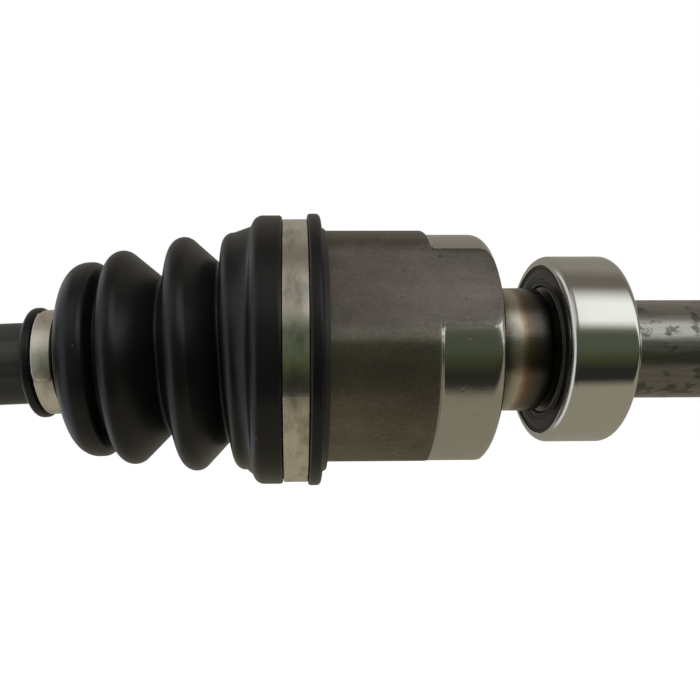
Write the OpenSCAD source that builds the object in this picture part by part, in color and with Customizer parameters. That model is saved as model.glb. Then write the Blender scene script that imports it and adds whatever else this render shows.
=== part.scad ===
// Front drive shaft with a tripod joint beside a support bearing and a ball joint at the wheel end.
// X runs along the shaft from the wheel (-X) to the gearbox (+X), Z is up, and the origin is the
// centre of the support bearing. The bar hangs a little below the bearing's axis, as when fitted.

/* [Support bearing] */
// Outside diameter of the support bearing
bearing_od = 62; // [60:0.5:66]
// Bore of the support bearing, which is also the shaft seat
bearing_bore = 35; // [34:0.5:36]
// Width of the support bearing
bearing_w = 20; // [18:0.5:24]
// Chamfer on the bearing's outer corners
bearing_chamfer = 1.25; // [0.5:0.05:2]
// Number of balls in the bearing
bearing_ball_count = 11; // [8:1:12]
// Diameter of one bearing ball
bearing_ball_d = 7.94; // [7:0.01:8.5]
// Thickness of a bearing seal
seal_t = 1.2; // [0.8:0.1:1.6]

/* [Shaft beside the bearing] */
// Distance from the housing's rear face to the bearing
neck_len = 20.5; // [16:0.5:30]
// Diameter of the neck
neck_d = 41.2; // [40:0.1:44]
// Width of the collar that holds the bearing
collar_w = 6.2; // [4:0.1:9]
// Diameter of the collar
collar_d = 39; // [38:0.1:41]
// Diameter of the ground shaft on the gearbox side
stub_d = 33; // [32:0.1:33.8]
// Distance from the bearing's centre to the gearbox end
stub_reach = 150; // [130:1:200]
// Tip diameter of the gearbox spline
gear_spline_d = 28; // [26:0.1:31]
// Length of the gearbox spline
gear_spline_len = 36; // [25:1:50]
// Teeth on each spline
spline_teeth = 26; // [20:1:32]
// Height of a spline tooth
spline_h = 1.3; // [0.8:0.1:1.8]

/* [Tripod housing] */
// Length of the housing from its mouth to its rear face
housing_len = 72; // [70:0.5:84]
// Radius over the three lobes
lobe_r = 39.4; // [39:0.1:42]
// Distance from the axis to each of the three flats
flat_r = 36.5; // [36:0.1:37.5]
// Radius of the turned rear part
turned_r = 38.15; // [37.8:0.05:39]
// Length of the turned rear part
turned_len = 21; // [16:0.5:28]
// Roundness of the rear corner
rear_round = 7; // [3:0.5:8]
// Thickness of the housing's rear wall
floor_t = 8; // [6:0.5:9]

/* [Tripod] */
// Depth of the tripod's centre behind the housing's mouth
tripod_depth = 31.5; // [31.5:0.1:33]
// Diameter of a roller
roller_d = 31; // [30:0.1:31.5]
// Width of a roller
roller_w = 11; // [10:0.1:11.5]
// Radius of the circle through the rollers' middles
roller_circle_r = 22; // [21.6:0.1:22.3]
// Diameter of a trunnion
trunnion_d = 18; // [17:0.1:18.5]
// Diameter of a needle
needle_d = 2.4; // [2:0.05:2.5]
// Needles round one trunnion
needle_count = 20; // [16:1:24]
// Diameter of the tripod's hub
hub_d = 31; // [29:0.1:32]
// Width of the tripod's hub
hub_w = 22; // [18:0.5:24]
// Room between a roller and each side of its track
track_gap = 0.8; // [0.7:0.05:1.2]

/* [Bar] */
// Angle by which the bar hangs below the bearing's axis
droop = 2.05; // [1:0.05:3]
// Diameter of the bar
bar_d = 27; // [25.5:0.1:28]
// Diameter of the bar's ends, which carry the joints
bar_end_d = 23; // [22:0.1:24]
// Distance between the centres of the two joints
bar_span = 400; // [300:1:500]

/* [Inner boot] */
// Thickness of the boot's pleats
boot_wall = 2.2; // [1.6:0.1:2.6]
// Thickness of the adapter over the housing's lobes
adapter_t = 1.8; // [1.4:0.1:2.4]
// Thickness of the boot's end lip
lip_t = 3.55; // [3.3:0.05:4.5]
// Thickness of the boot's collar
collar_t = 3; // [2.8:0.05:3.8]
// Thickness of the boot under the large clamp
groove_t = 1.1; // [0.8:0.05:1.6]
// Length of the boot that grips the housing
boot_grip = 17.5; // [16:0.5:19]
// Step from the collar down to the shoulder
shoulder_drop = 5; // [4:0.1:6]
// Crest radius of each pleat, from the large end
crest_r = [38.5, 35.3, 32.1]; // [28:0.1:40]
// Distance of each crest from the collar's end
crest_at = [23.5, 43.6, 54.3]; // [20:0.1:60]
// Roundness of each crest
crest_round = [4.8, 4.6, 3.5]; // [3:0.1:6]
// Floor radius of each valley, from the large end
valley_r = [30, 25.3, 27.3]; // [20:0.1:32]
// Distance of each valley from the collar's end
valley_at = [12.7, 32, 49.4]; // [10:0.1:60]
// Distance of the boot's small end from the collar's end
small_end_at = 75.1; // [74:0.1:78]
// Radius of the lip at the small end
small_lip_r = 18.2; // [17.8:0.1:19]

/* [Clamps] */
// Thickness of a clamp band
band_t = 0.7; // [0.5:0.05:0.9]
// Width of the two large bands
large_band_w = 7.8; // [6:0.1:8]
// Width of the two small bands
small_band_w = 6.1; // [5:0.1:6.2]

/* [Ball joint] */
// Diameter of a ball
ball_d = 16; // [15:0.1:16.4]
// Radius of the circle through the balls
ball_circle_r = 30; // [29.5:0.1:30.5]
// Distance of each track's centre from the joint's centre
track_offset = 4; // [3:0.1:4.5]
// Radius of the race's outside
bell_r = 43; // [42.6:0.1:45]
// Thickness of the ball cage
cage_t = 4.5; // [4:0.1:5]
// Width of the inner race
inner_race_w = 22; // [20:0.5:24]
// Diameter of the wheel spline
wheel_spline_d = 28; // [26:0.1:30]
// Length of the wheel spline
wheel_spline_len = 46; // [36:1:60]
// Diameter of the thread for the hub nut
hub_thread_d = 24; // [22:0.1:24.5]
// Length of the thread for the hub nut
hub_thread_len = 24; // [18:1:30]
// Number of pleats in the outer boot
outer_pleats = 5; // [4:1:6]
// Length of the outer boot from the race's mouth
outer_boot_len = 78; // [74:1:90]

/* [Hidden] */
$fn = 96;

// Clearances
run_gap = 0.08;
slide_gap = 0.15;
rubber_gap = 0.05;
ball_gap = 0.2;
window_gap = 0.45;
eps = 0.01;

// Support bearing
bearing_r = bearing_od / 2;
seat_r = bearing_bore / 2;
half_w = bearing_w / 2;
bearing_pitch_r = (bearing_r + seat_r) / 2;
bearing_ball_r = bearing_ball_d / 2;
outer_land_r = bearing_pitch_r + 2.6;
inner_land_r = bearing_pitch_r - 2.95;
seal_recess_r = bearing_r - 2.9;
seal_inset = 0.5;
bearing_cage_t = 2.6;
bearing_cage_w = 9.6;

// Shaft beside the bearing
shoulder_w = 3.8;
shoulder_step_r = seat_r + 1.5;
weld_x = -half_w - neck_len / 2;
collar_end_x = half_w + collar_w;
stub_r = stub_d / 2;
gear_spline_r = gear_spline_d / 2;
circlip_wire = 1.6;
circlip_from_end = 8;
end_chamfer = 1.5;

// Tripod housing, measured along X
rear_x = -half_w - neck_len;
mouth_x = rear_x - housing_len;
floor_x = rear_x - floor_t;
step_x = rear_x - turned_len;
step_cone = 2.5;
neck_fillet = 3;
track_half = roller_d / 2 + track_gap;
track_depth = roller_circle_r + roller_w / 2 + 3.8;
track_corner = 6;
swing_room = 12;
cavity_r = bar_d / 2 + swing_room;
mouth_flare_r = cavity_r + 5;
mouth_flare = 6;

// Tripod
tripod_x = mouth_x + tripod_depth;
trunnion_r = trunnion_d / 2;
roller_bore_r = trunnion_r + needle_d + 2 * rubber_gap;
clip_t = 1;
clip_r = trunnion_r + 2;
clip_seat = roller_circle_r + roller_w / 2 + 0.2;
trunnion_tip = clip_seat + clip_t + 0.6;

// Bar, measured along its own axis from the tripod's centre
bar_r = bar_d / 2;
bar_end_r = bar_end_d / 2;
bar_neck_r = bar_end_r + 0.5;
bar_stop_r = bar_end_r + 1.8;
bar_neck_len = 44;
bar_cone_len = 12;
bar_tip = 4;
circlip_t = 1.4;
circlip_out = 1.5;

// Inner boot
boot_bore_r = lobe_r + adapter_t;
lip_r = boot_bore_r + lip_t;
collar_r = boot_bore_r + collar_t;
groove_r = boot_bore_r + groove_t;
shoulder_r = collar_r - shoulder_drop;
boot_mouth_x = mouth_x + boot_grip;
boot_root_x = mouth_x - 1.5;
lip_w = 4;
groove_w = large_band_w + 0.3;
groove_x = boot_mouth_x - lip_w;
collar_round = 3.5;
boot_overhang = 2.7;
valley_round = 1;
crest_line_r = shoulder_r - collar_round;
small_groove_t = 3.1;
small_groove_r = bar_r + small_groove_t;
small_groove_w = small_band_w + 0.3;
small_lip_w = 3.4;
small_end_x = boot_root_x - small_end_at;
boot_tilt = atan(tan(droop) * (small_end_x - tripod_x) / (small_end_x - boot_root_x));
adapter_reach = 2.4;

// Angles below the near side between which a clamp's ends overlap
large_lap = [19, 150];
small_lap = [-60, 21];

// Ball joint, measured along the bar from the joint's centre
ball_r = ball_d / 2;
groove_tube_r = ball_r + ball_gap;
track_r = norm([ball_circle_r, track_offset]);
cage_mid_r = ball_circle_r + 0.75;
cage_out_r = cage_mid_r + cage_t / 2;
cage_in_r = cage_mid_r - cage_t / 2;
bell_in_r = cage_out_r + slide_gap;
race_out_r = cage_in_r - slide_gap;
cage_w = 28;
bell_mouth = 16;
bell_straight_x = -16;
bell_round = 14;
race_neck_r = 26;
bell_flare_r = 37;
bell_flare = 4;
track_sweep = 62;
flange_r = 24;
flange_x = -52;
wheel_seat_r = wheel_spline_d / 2 + 3;
wheel_weld_x = -45;
thread_r = hub_thread_d / 2;
wheel_spline_x = flange_x - 10;
thread_x = wheel_spline_x - wheel_spline_len;
wheel_end_x = thread_x - hub_thread_len;
outer_grip = 13;
outer_groove_r = bell_r + 1.6;
outer_lip_w = 2.5;
outer_boot_first = 11;
outer_boot_tail = 15;
outer_mouth_r = bell_r - 6;
outer_crest_from = bell_r - 4.5;
outer_crest_to = bar_r + 9;
outer_crest_round = 2.8;
outer_valley_from = bell_r - 10;
outer_valley_to = bar_r + 5.5;
outer_small_x = bell_mouth + outer_boot_len - small_lip_w - small_groove_w;

// A solid turned about the X axis from points given as [x, radius]
module turned(points, angle = 360) {
    rotate([0, 90, 0]) rotate_extrude(angle = angle) polygon([for (p = points) [p[1], p[0]]]);
}

// A cylinder along X between two places
module rod(r, x0, x1) {
    translate([min(x0, x1), 0, 0]) rotate([0, 90, 0]) cylinder(r = r, h = abs(x1 - x0));
}

// A ring along X with a rectangular section
module ring(r_in, r_out, x0, x1, chamfer = 0) {
    turned([
        [x0, r_in], [x1, r_in], [x1, r_out - chamfer], [x1 - chamfer, r_out],
        [x0 + chamfer, r_out], [x0, r_out - chamfer]
    ]);
}

// A length of splined shaft
module splined(r_tip, x0, x1) {
    pitch = 360 / spline_teeth;
    translate([x0, 0, 0]) rotate([0, 90, 0]) linear_extrude(x1 - x0)
        polygon([
            for (i = [0:spline_teeth - 1], k = [[-0.36, 0], [-0.16, 1], [0.16, 1], [0.36, 0]])
                (r_tip - spline_h * (1 - k[1])) * [cos((i + k[0]) * pitch), sin((i + k[0]) * pitch)]
        ]);
}

// A round wire ring with a gap, for a groove
module wire_ring(r, wire, x) {
    translate([x, 0, 0]) rotate([0, 90, 0]) rotate([0, 0, 20]) rotate_extrude(angle = 320)
        translate([r, 0]) circle(d = wire, $fn = 24);
}

// Outlines are chains of circles [x, radius, roundness, side], joined by tangents. Side is 1 where
// the outline passes outside the circle, as on a crest, and -1 where it passes inside, as in a valley.
function tangent(a, b) =
    let (d = [a[0] - b[0], a[1] - b[1]])
    atan2(d[1], d[0]) + acos(max(-1, min(1, (b[3] * b[2] - a[3] * a[2]) / norm(d))));
function arc_points(c, a0, a1, n) =
    [for (k = [0:n]) let (a = a0 + (a1 - a0) * k / n) [c[0], c[1]] + c[3] * c[2] * [cos(a), sin(a)]];
function chain(c, first, last, n = 5) = [
    for (i = [0:len(c) - 1]) each arc_points(
        c[i],
        i == 0 ? first : tangent(c[i - 1], c[i]),
        i == len(c) - 1 ? last : tangent(c[i], c[i + 1]),
        n)
];
// The same chain, moved inwards by the wall
function inset(c, wall) = [for (p = c) [p[0], p[1], p[2] - p[3] * wall, p[3]]];

// The bar's frame, the inner boot's frame and the ball joint's frame
module on_bar() { translate([tripod_x, 0, 0]) rotate([0, -droop, 0]) children(); }
module on_boot() { translate([boot_root_x, 0, 0]) rotate([0, -boot_tilt, 0]) children(); }
module on_joint() { on_bar() translate([-bar_span, 0, 0]) children(); }
// Three places round X, the first at the top
module tripod_place(i) { rotate([120 * i, 0, 0]) children(); }

// Support bearing

module bearing_outer_ring() {
    color("silver") difference() {
        turned([
            [-half_w, seal_recess_r], [-half_w, bearing_r - bearing_chamfer],
            [-half_w + bearing_chamfer, bearing_r], [half_w - bearing_chamfer, bearing_r],
            [half_w, bearing_r - bearing_chamfer], [half_w, seal_recess_r],
            [half_w - seal_t - seal_inset, seal_recess_r], [half_w - seal_t - seal_inset, outer_land_r],
            [-half_w + seal_t + seal_inset, outer_land_r], [-half_w + seal_t + seal_inset, seal_recess_r]
        ]);
        rotate([0, 90, 0]) rotate_extrude()
            translate([bearing_pitch_r, 0]) circle(r = bearing_ball_r + run_gap);
    }
}

module bearing_inner_ring() {
    color("silver") difference() {
        ring(seat_r, inner_land_r, -half_w, half_w, 0.5);
        rotate([0, 90, 0]) rotate_extrude()
            translate([bearing_pitch_r, 0]) circle(r = bearing_ball_r + run_gap);
    }
}

module bearing_ball_places() {
    for (i = [0:bearing_ball_count - 1]) rotate([360 / bearing_ball_count * i, 0, 0])
        translate([0, 0, bearing_pitch_r]) children();
}

module bearing_balls() {
    color("gainsboro") bearing_ball_places() sphere(r = bearing_ball_r);
}

module bearing_cage() {
    color("darkgray") difference() {
        ring(bearing_pitch_r - bearing_cage_t / 2, bearing_pitch_r + bearing_cage_t / 2,
            -bearing_cage_w / 2, bearing_cage_w / 2);
        bearing_ball_places() sphere(r = bearing_ball_r + run_gap);
    }
}

// Seal with a stepped face and a lip on the inner ring, on the side given by 1 or -1
module bearing_seal(side) {
    out_x = half_w - seal_inset;
    in_x = out_x - seal_t;
    lip_r0 = inner_land_r + slide_gap;
    color("black") mirror([side < 0 ? 1 : 0, 0, 0]) turned([
        [in_x, lip_r0], [out_x - 0.2, lip_r0], [out_x - 0.2, lip_r0 + 1.2], [out_x - 0.6, lip_r0 + 1.6],
        [out_x - 0.6, lip_r0 + 2.4], [out_x, lip_r0 + 2.8], [out_x, seal_recess_r - 0.6],
        [out_x - 0.4, seal_recess_r], [in_x, seal_recess_r]
    ]);
}

// Shaft beside the bearing

module stub_shaft() {
    spline_x = stub_reach - gear_spline_len;
    spline_root_r = gear_spline_r - spline_h;
    groove_x0 = stub_reach - circlip_from_end;
    color("gray") difference() {
        union() {
            turned([
                [weld_x, 0], [weld_x, neck_d / 2], [-half_w - shoulder_w - 0.8, neck_d / 2],
                [-half_w - shoulder_w, neck_d / 2 - 0.8], [-half_w - shoulder_w, shoulder_step_r],
                [-half_w, shoulder_step_r], [-half_w, seat_r], [collar_end_x - 0.5, seat_r],
                [collar_end_x, seat_r - 0.5], [collar_end_x, stub_r], [spline_x - 8, stub_r],
                [spline_x - 4, spline_root_r], [stub_reach - end_chamfer, spline_root_r],
                [stub_reach, spline_root_r - end_chamfer], [stub_reach, 0]
            ]);
            intersection() {
                splined(gear_spline_r, spline_x, stub_reach - eps);
                turned([
                    [spline_x, 0], [spline_x, spline_root_r], [spline_x + spline_h, gear_spline_r + 1],
                    [stub_reach - 2 * end_chamfer, gear_spline_r + 1],
                    [stub_reach, spline_root_r - end_chamfer], [stub_reach, 0]
                ]);
            }
        }
        ring(gear_spline_r - circlip_wire, gear_spline_r + 2,
            groove_x0 - circlip_wire / 2 - 0.1, groove_x0 + circlip_wire / 2 + 0.1);
        translate([stub_reach + eps, 0, 0]) rotate([0, -90, 0]) cylinder(r1 = 4, r2 = 1, h = 6);
    }
}

module bearing_collar() {
    color("whitesmoke") ring(seat_r, collar_d / 2, half_w, collar_end_x - 0.5, 0.8);
}

module gearbox_circlip() {
    color("dimgray")
        wire_ring(gear_spline_r - circlip_wire / 2 + 0.05, circlip_wire, stub_reach - circlip_from_end);
}

// Tripod housing

// The outside of the housing, as a solid with three lobes and three flats
module housing_outside() {
    flat_w = 2 * lobe_r;
    difference() {
        turned(concat(
            [[mouth_x, 0], [mouth_x, lobe_r - 1], [mouth_x + 1, lobe_r], [step_x, lobe_r],
                [step_x + step_cone, turned_r]],
            arc_points([rear_x - rear_round, turned_r - rear_round, rear_round, 1], 90, 0, 6),
            arc_points([rear_x + neck_fillet, neck_d / 2 + neck_fillet, neck_fillet, 1], 180, 270, 4),
            [[weld_x, neck_d / 2], [weld_x, 0]]));
        for (i = [0:2]) tripod_place(i + 0.5)
            translate([mouth_x - 1, -flat_w / 2, flat_r]) cube([housing_len + 2, flat_w, lobe_r]);
    }
}

// Section of one roller track, standing on the axis
module track_section() {
    inner_half = track_half - track_corner;
    translate([-track_half, 0]) square([2 * track_half, track_depth - track_corner]);
    translate([-inner_half, 0]) square([2 * inner_half, track_depth]);
    for (s = [-1, 1]) translate([s * inner_half, track_depth - track_corner]) circle(r = track_corner);
}

module tripod_housing() {
    color("dimgray") difference() {
        housing_outside();
        for (i = [0:2]) tripod_place(i) translate([mouth_x - 1, 0, 0]) rotate([90, 0, 90])
            linear_extrude(floor_x - mouth_x + 1) track_section();
        rod(cavity_r, mouth_x - 1, floor_x);
        turned([[mouth_x - eps, 0], [mouth_x - eps, mouth_flare_r], [mouth_x + mouth_flare, cavity_r],
            [mouth_x + mouth_flare, 0]]);
    }
}

// Ring that fills the flats, so that the round boot seals on the lobed housing
module boot_adapter() {
    color("black") difference() {
        turned([
            [mouth_x, lobe_r - 4], [mouth_x, boot_bore_r], [boot_mouth_x, boot_bore_r],
            [boot_mouth_x + adapter_reach, lobe_r + 0.35], [boot_mouth_x + adapter_reach, lobe_r - 4]
        ]);
        housing_outside();
    }
}

// Tripod

module spider() {
    color("slategray") on_bar() difference() {
        union() {
            turned([
                [-hub_w / 2, 0], [-hub_w / 2, hub_d / 2 - 2], [-hub_w / 2 + 2, hub_d / 2],
                [hub_w / 2 - 2, hub_d / 2], [hub_w / 2, hub_d / 2 - 2], [hub_w / 2, 0]
            ]);
            for (i = [0:2]) tripod_place(i) difference() {
                cylinder(r = trunnion_r, h = trunnion_tip);
                translate([0, 0, clip_seat]) difference() {
                    cylinder(r = trunnion_r + 1, h = clip_t + 2 * run_gap);
                    translate([0, 0, -1]) cylinder(r = trunnion_r - 1, h = clip_t + 3);
                }
            }
        }
        rod(bar_end_r, -hub_w, hub_w);
    }
}

module roller_clips() {
    color("darkgray") on_bar() for (i = [0:2]) tripod_place(i)
        translate([0, 0, clip_seat + run_gap]) difference() {
            cylinder(r = clip_r, h = clip_t);
            translate([0, 0, -1]) cylinder(r = trunnion_r - 1, h = clip_t + 2);
            translate([clip_r / 2, -2.5, -1]) cube([clip_r, 5, clip_t + 2]);
        }
}

// One roller with its crowned outside, round the trunnion that stands at place i
module roller(i) {
    color("lightgray") on_bar() tripod_place(i) translate([0, 0, roller_circle_r]) difference() {
        intersection() {
            sphere(r = roller_d / 2);
            cube([roller_d + 2, roller_d + 2, roller_w], center = true);
        }
        cylinder(r = roller_bore_r, h = roller_w + 2, center = true);
    }
}

module roller_needles(i) {
    color("gainsboro") on_bar() tripod_place(i) for (k = [0:needle_count - 1])
        rotate([0, 0, 360 / needle_count * k])
            translate([trunnion_r + needle_d / 2 + rubber_gap, 0, roller_circle_r])
                cylinder(d = needle_d, h = roller_w - 1, center = true, $fn = 24);
}

module spider_circlip() {
    color("darkgray") on_bar()
        bar_circlip(hub_w / 2);
}

// Bar

// Flat ring on the bar's end, which stands proud of its groove
module bar_circlip(x) {
    difference() {
        ring(bar_end_r - 1, bar_end_r + circlip_out, x + run_gap, x + run_gap + circlip_t);
        translate([x - 1, -2, 0]) cube([circlip_t + 3, 4, bar_end_d]);
    }
}

// Half of the bar, from a joint's centre towards the bar's middle at -X
module bar_half(stop_x) {
    tip = -stop_x + circlip_t + bar_tip;
    turned([
        [-bar_span / 2, 0], [-bar_span / 2, bar_r], [-bar_neck_len - bar_cone_len, bar_r],
        [-bar_neck_len, bar_neck_r], [stop_x - 4, bar_neck_r], [stop_x - 2, bar_stop_r],
        [stop_x, bar_stop_r], [stop_x, bar_end_r], [-stop_x, bar_end_r], [-stop_x, bar_end_r - 1],
        [-stop_x + circlip_t + 2 * run_gap, bar_end_r - 1], [-stop_x + circlip_t + 2 * run_gap, bar_end_r],
        [tip - 1, bar_end_r], [tip, bar_end_r - 1], [tip, 0]
    ]);
}

module bar() {
    color([0.07, 0.07, 0.08]) on_bar() {
        bar_half(-hub_w / 2);
        translate([-bar_span, 0, 0]) mirror([1, 0, 0]) bar_half(-inner_race_w / 2);
    }
}

// Boots

// Circles of the inner boot's outline from the shoulder to the small end's groove
function inner_boot_circles() = concat(
    [[-8, crest_line_r, collar_round, 1]],
    [for (i = [0:2]) each [
        [-valley_at[i], valley_r[i] + valley_round, valley_round, -1],
        [-crest_at[i], crest_r[i] - crest_round[i], crest_round[i], 1]]],
    [[-crest_at[2] - 1.3, crest_r[2] - 2 * crest_round[2], 2 * crest_round[2], 1],
        [-small_end_at + small_lip_w + small_groove_w, small_groove_r + valley_round, valley_round, -1]]);

module inner_boot() {
    small_x = -small_end_at;
    groove_end = small_x + small_lip_w;
    color([0.09, 0.09, 0.09]) difference() {
        union() {
            turned(concat(
                [[boot_mouth_x, 0]],
                chain([
                    [boot_mouth_x - 1.4, lip_r - 1.4, 1.4, 1], [groove_x + 0.8, lip_r - 0.8, 0.8, 1],
                ], 0, 180),
                [[groove_x, groove_r], [groove_x - groove_w, groove_r]],
                chain([
                    [groove_x - groove_w - 1, collar_r - 1, 1, 1],
                    [boot_root_x - boot_overhang + collar_round, collar_r - collar_round, collar_round, 1]
                ], 0, 180),
                [[boot_root_x - boot_overhang, 0]]));
            on_boot() turned(concat(
                [[boot_overhang, 0], [boot_overhang, shoulder_r + 1.4]],
                chain(inner_boot_circles(), 80, 90),
                [[groove_end, small_groove_r]],
                chain([[groove_end - 1.2, small_lip_r - 1.2, 1.2, 1], [small_x + 1.2, small_lip_r - 1.2, 1.2, 1]],
                    0, 180),
                [[small_x, 0]]));
        }
        rod(boot_bore_r, mouth_x, boot_mouth_x + 1);
        on_boot() turned(concat(
            [[4, 0], [4, crest_line_r + collar_round - boot_wall]],
            chain(inset(inner_boot_circles(), boot_wall), 90, 180),
            [[groove_end + small_groove_w, 0]]));
        on_bar() rod(bar_r + rubber_gap, -bar_span / 2, 0);
    }
}

// Pleats of the outer boot shrink evenly from the race to the bar
function outer_boot_circles() =
    let (pitch = (outer_boot_len - outer_boot_first - outer_boot_tail) / outer_pleats)
    [for (i = [0:outer_pleats - 1]) let (share = i / outer_pleats) each [
        [bell_mouth + outer_boot_first + pitch * i,
            outer_crest_from + (outer_crest_to - outer_crest_from) * share, outer_crest_round, 1],
        [bell_mouth + outer_boot_first + pitch * (i + 0.5),
            outer_valley_from + (outer_valley_to - outer_valley_from) * share, valley_round, -1]]];
// The same chain runs from the race to the bar, so it is mirrored along X
function mirrored(points) = [for (p = points) concat([-p[0]], [for (k = [1:len(p) - 1]) p[k]])];

module outer_boot() {
    end_x = bell_mouth + outer_boot_len;
    grip_x = bell_mouth - outer_grip;
    groove_x1 = grip_x + outer_lip_w;
    color([0.09, 0.09, 0.09]) on_joint() difference() {
        turned(concat(
            [[grip_x, 0], [grip_x, outer_groove_r + 1.5], [groove_x1, outer_groove_r + 1.5],
                [groove_x1, outer_groove_r], [groove_x1 + groove_w, outer_groove_r],
                [groove_x1 + groove_w, outer_groove_r + 1], [bell_mouth + 3, outer_groove_r + 1],
                [bell_mouth + 4, outer_mouth_r]],
            mirrored(chain(mirrored(outer_boot_circles()), 90, 90)),
            [[outer_small_x - 4, small_groove_r], [end_x - small_lip_w, small_groove_r],
                [end_x - small_lip_w, small_lip_r], [end_x, small_lip_r], [end_x, 0]]));
        rod(bell_r, grip_x - 1, bell_mouth);
        turned(concat(
            [[bell_mouth - 1, 0], [bell_mouth - 1, bell_flare_r + 1.5],
                [bell_mouth + 4, outer_mouth_r - boot_wall]],
            mirrored(chain(mirrored(inset(outer_boot_circles(), boot_wall)), 90, 90)),
            [[outer_small_x - 2, bar_r + rubber_gap], [outer_small_x - 2, 0]]));
        rod(bar_r + rubber_gap, 0, end_x + 1);
    }
}

// Clamps

// Band with a second layer where its ends overlap, between two angles below the near side
module band_clamp(r, w, lap) {
    color("lightsteelblue") {
        ring(r, r + band_t, -w / 2, w / 2, 0.15);
        rotate([-lap[0], 0, 0]) rotate([90, 0, 0]) rotate([0, 90, 0])
            rotate_extrude(angle = lap[1] - lap[0])
                translate([r + band_t / 2, -w / 2]) square([1.5 * band_t, w]);
    }
}

module inner_boot_large_clamp() {
    translate([groove_x - groove_w / 2, 0, 0]) band_clamp(groove_r, large_band_w, large_lap);
}

module inner_boot_small_clamp() {
    on_boot() translate([-small_end_at + small_lip_w + small_groove_w / 2, 0, 0])
        band_clamp(small_groove_r, small_band_w, small_lap);
}

module outer_boot_large_clamp() {
    on_joint() translate([bell_mouth - outer_grip + outer_lip_w + groove_w / 2, 0, 0])
        band_clamp(outer_groove_r, large_band_w, large_lap);
}

module outer_boot_small_clamp() {
    on_joint() translate([outer_small_x + small_groove_w / 2, 0, 0])
        band_clamp(small_groove_r, small_band_w, small_lap);
}

// Ball joint

// Six tracks as bent tubes, whose centre lies off the joint's centre by the given distance
module ball_tracks(offset_x, tube_r) {
    for (i = [0:5]) rotate([60 * i - 90, 0, 0]) translate([offset_x, 0, 0]) rotate([90, 0, 0])
        rotate([0, 0, 90 - track_sweep]) rotate_extrude(angle = 2 * track_sweep)
            translate([track_r, 0]) circle(r = tube_r, $fn = 48);
}

module outer_race() {
    color("dimgray") on_joint() difference() {
        turned(concat(
            [[bell_mouth, 0], [bell_mouth, bell_r - 0.5], [bell_mouth - 0.5, bell_r]],
            [[bell_straight_x, bell_r]],
            arc_points([bell_straight_x - 6, bell_r - bell_round, bell_round, 1], 90, 150, 6),
            [[wheel_weld_x, race_neck_r], [wheel_weld_x, 0]]));
        intersection() {
            sphere(r = bell_in_r);
            rod(bell_in_r, -bell_in_r, bell_mouth + 1);
        }
        ball_tracks(track_offset, groove_tube_r);
        turned([[bell_mouth - bell_flare, 0], [bell_mouth - bell_flare, bell_in_r - 3],
            [bell_mouth + 1, bell_flare_r], [bell_mouth + 1, 0]]);
    }
}

// Splined and threaded shaft on the wheel side of the race
module wheel_stub() {
    spline_r = wheel_spline_d / 2;
    root_r = spline_r - spline_h;
    color("gray") on_joint() difference() {
        union() {
            turned([
                [wheel_weld_x, 0], [wheel_weld_x, race_neck_r], [flange_x + 2, race_neck_r], [flange_x, flange_r],
                [flange_x, wheel_seat_r], [wheel_spline_x + 4, wheel_seat_r], [wheel_spline_x, root_r],
                [thread_x, root_r], [thread_x - 1, thread_r - 1.2], [thread_x - 3, thread_r - 1.2],
                [thread_x - 4, thread_r], [wheel_end_x + end_chamfer, thread_r],
                [wheel_end_x, thread_r - end_chamfer], [wheel_end_x, 0]
            ]);
            intersection() {
                splined(spline_r, thread_x, wheel_spline_x + 3);
                turned([[thread_x, 0], [thread_x, root_r], [thread_x + spline_h, spline_r + 1],
                    [wheel_spline_x + 3, spline_r + 1], [wheel_spline_x + 3, 0]]);
            }
        }
        translate([wheel_end_x - eps, 0, 0]) rotate([0, 90, 0]) cylinder(r1 = 4, r2 = 1, h = 6);
        translate([wheel_end_x + 7, 0, -thread_r - 1]) cylinder(r = 2, h = hub_thread_d + 2);
    }
}

module inner_race() {
    color("lightslategray") on_joint() difference() {
        intersection() {
            sphere(r = race_out_r);
            rod(race_out_r, -inner_race_w / 2, inner_race_w / 2);
        }
        ball_tracks(-track_offset, groove_tube_r);
        rod(bar_end_r, -inner_race_w, inner_race_w);
    }
}

module inner_race_circlip() {
    color("darkgray") on_joint() mirror([1, 0, 0]) bar_circlip(inner_race_w / 2);
}

module ball_cage() {
    half_l = ball_r + 1.5;
    half_h = ball_r + window_gap;
    window_corner = 3;
    color("darkgray") on_joint() difference() {
        rotate([30, 0, 0]) rotate([0, 90, 0]) rotate_extrude() intersection() {
            difference() {
                circle(r = cage_out_r);
                circle(r = cage_in_r);
            }
            translate([0, -cage_w / 2]) square([cage_out_r + 1, cage_w]);
        }
        for (i = [0:5]) rotate([60 * i - 90, 0, 0]) translate([0, 0, cage_in_r - 6]) linear_extrude(14) {
            square([2 * (half_h - window_corner), 2 * half_l], center = true);
            square([2 * half_h, 2 * (half_l - window_corner)], center = true);
            for (sx = [-1, 1], sy = [-1, 1])
                translate([sx * (half_h - window_corner), sy * (half_l - window_corner)])
                    circle(r = window_corner);
        }
    }
}

// One ball, at azimuth 60 * i from the near side going up
module joint_ball(i) {
    color("gainsboro") on_joint() rotate([90 - 60 * i, 0, 0]) translate([0, 0, ball_circle_r])
        sphere(r = ball_r);
}

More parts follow.
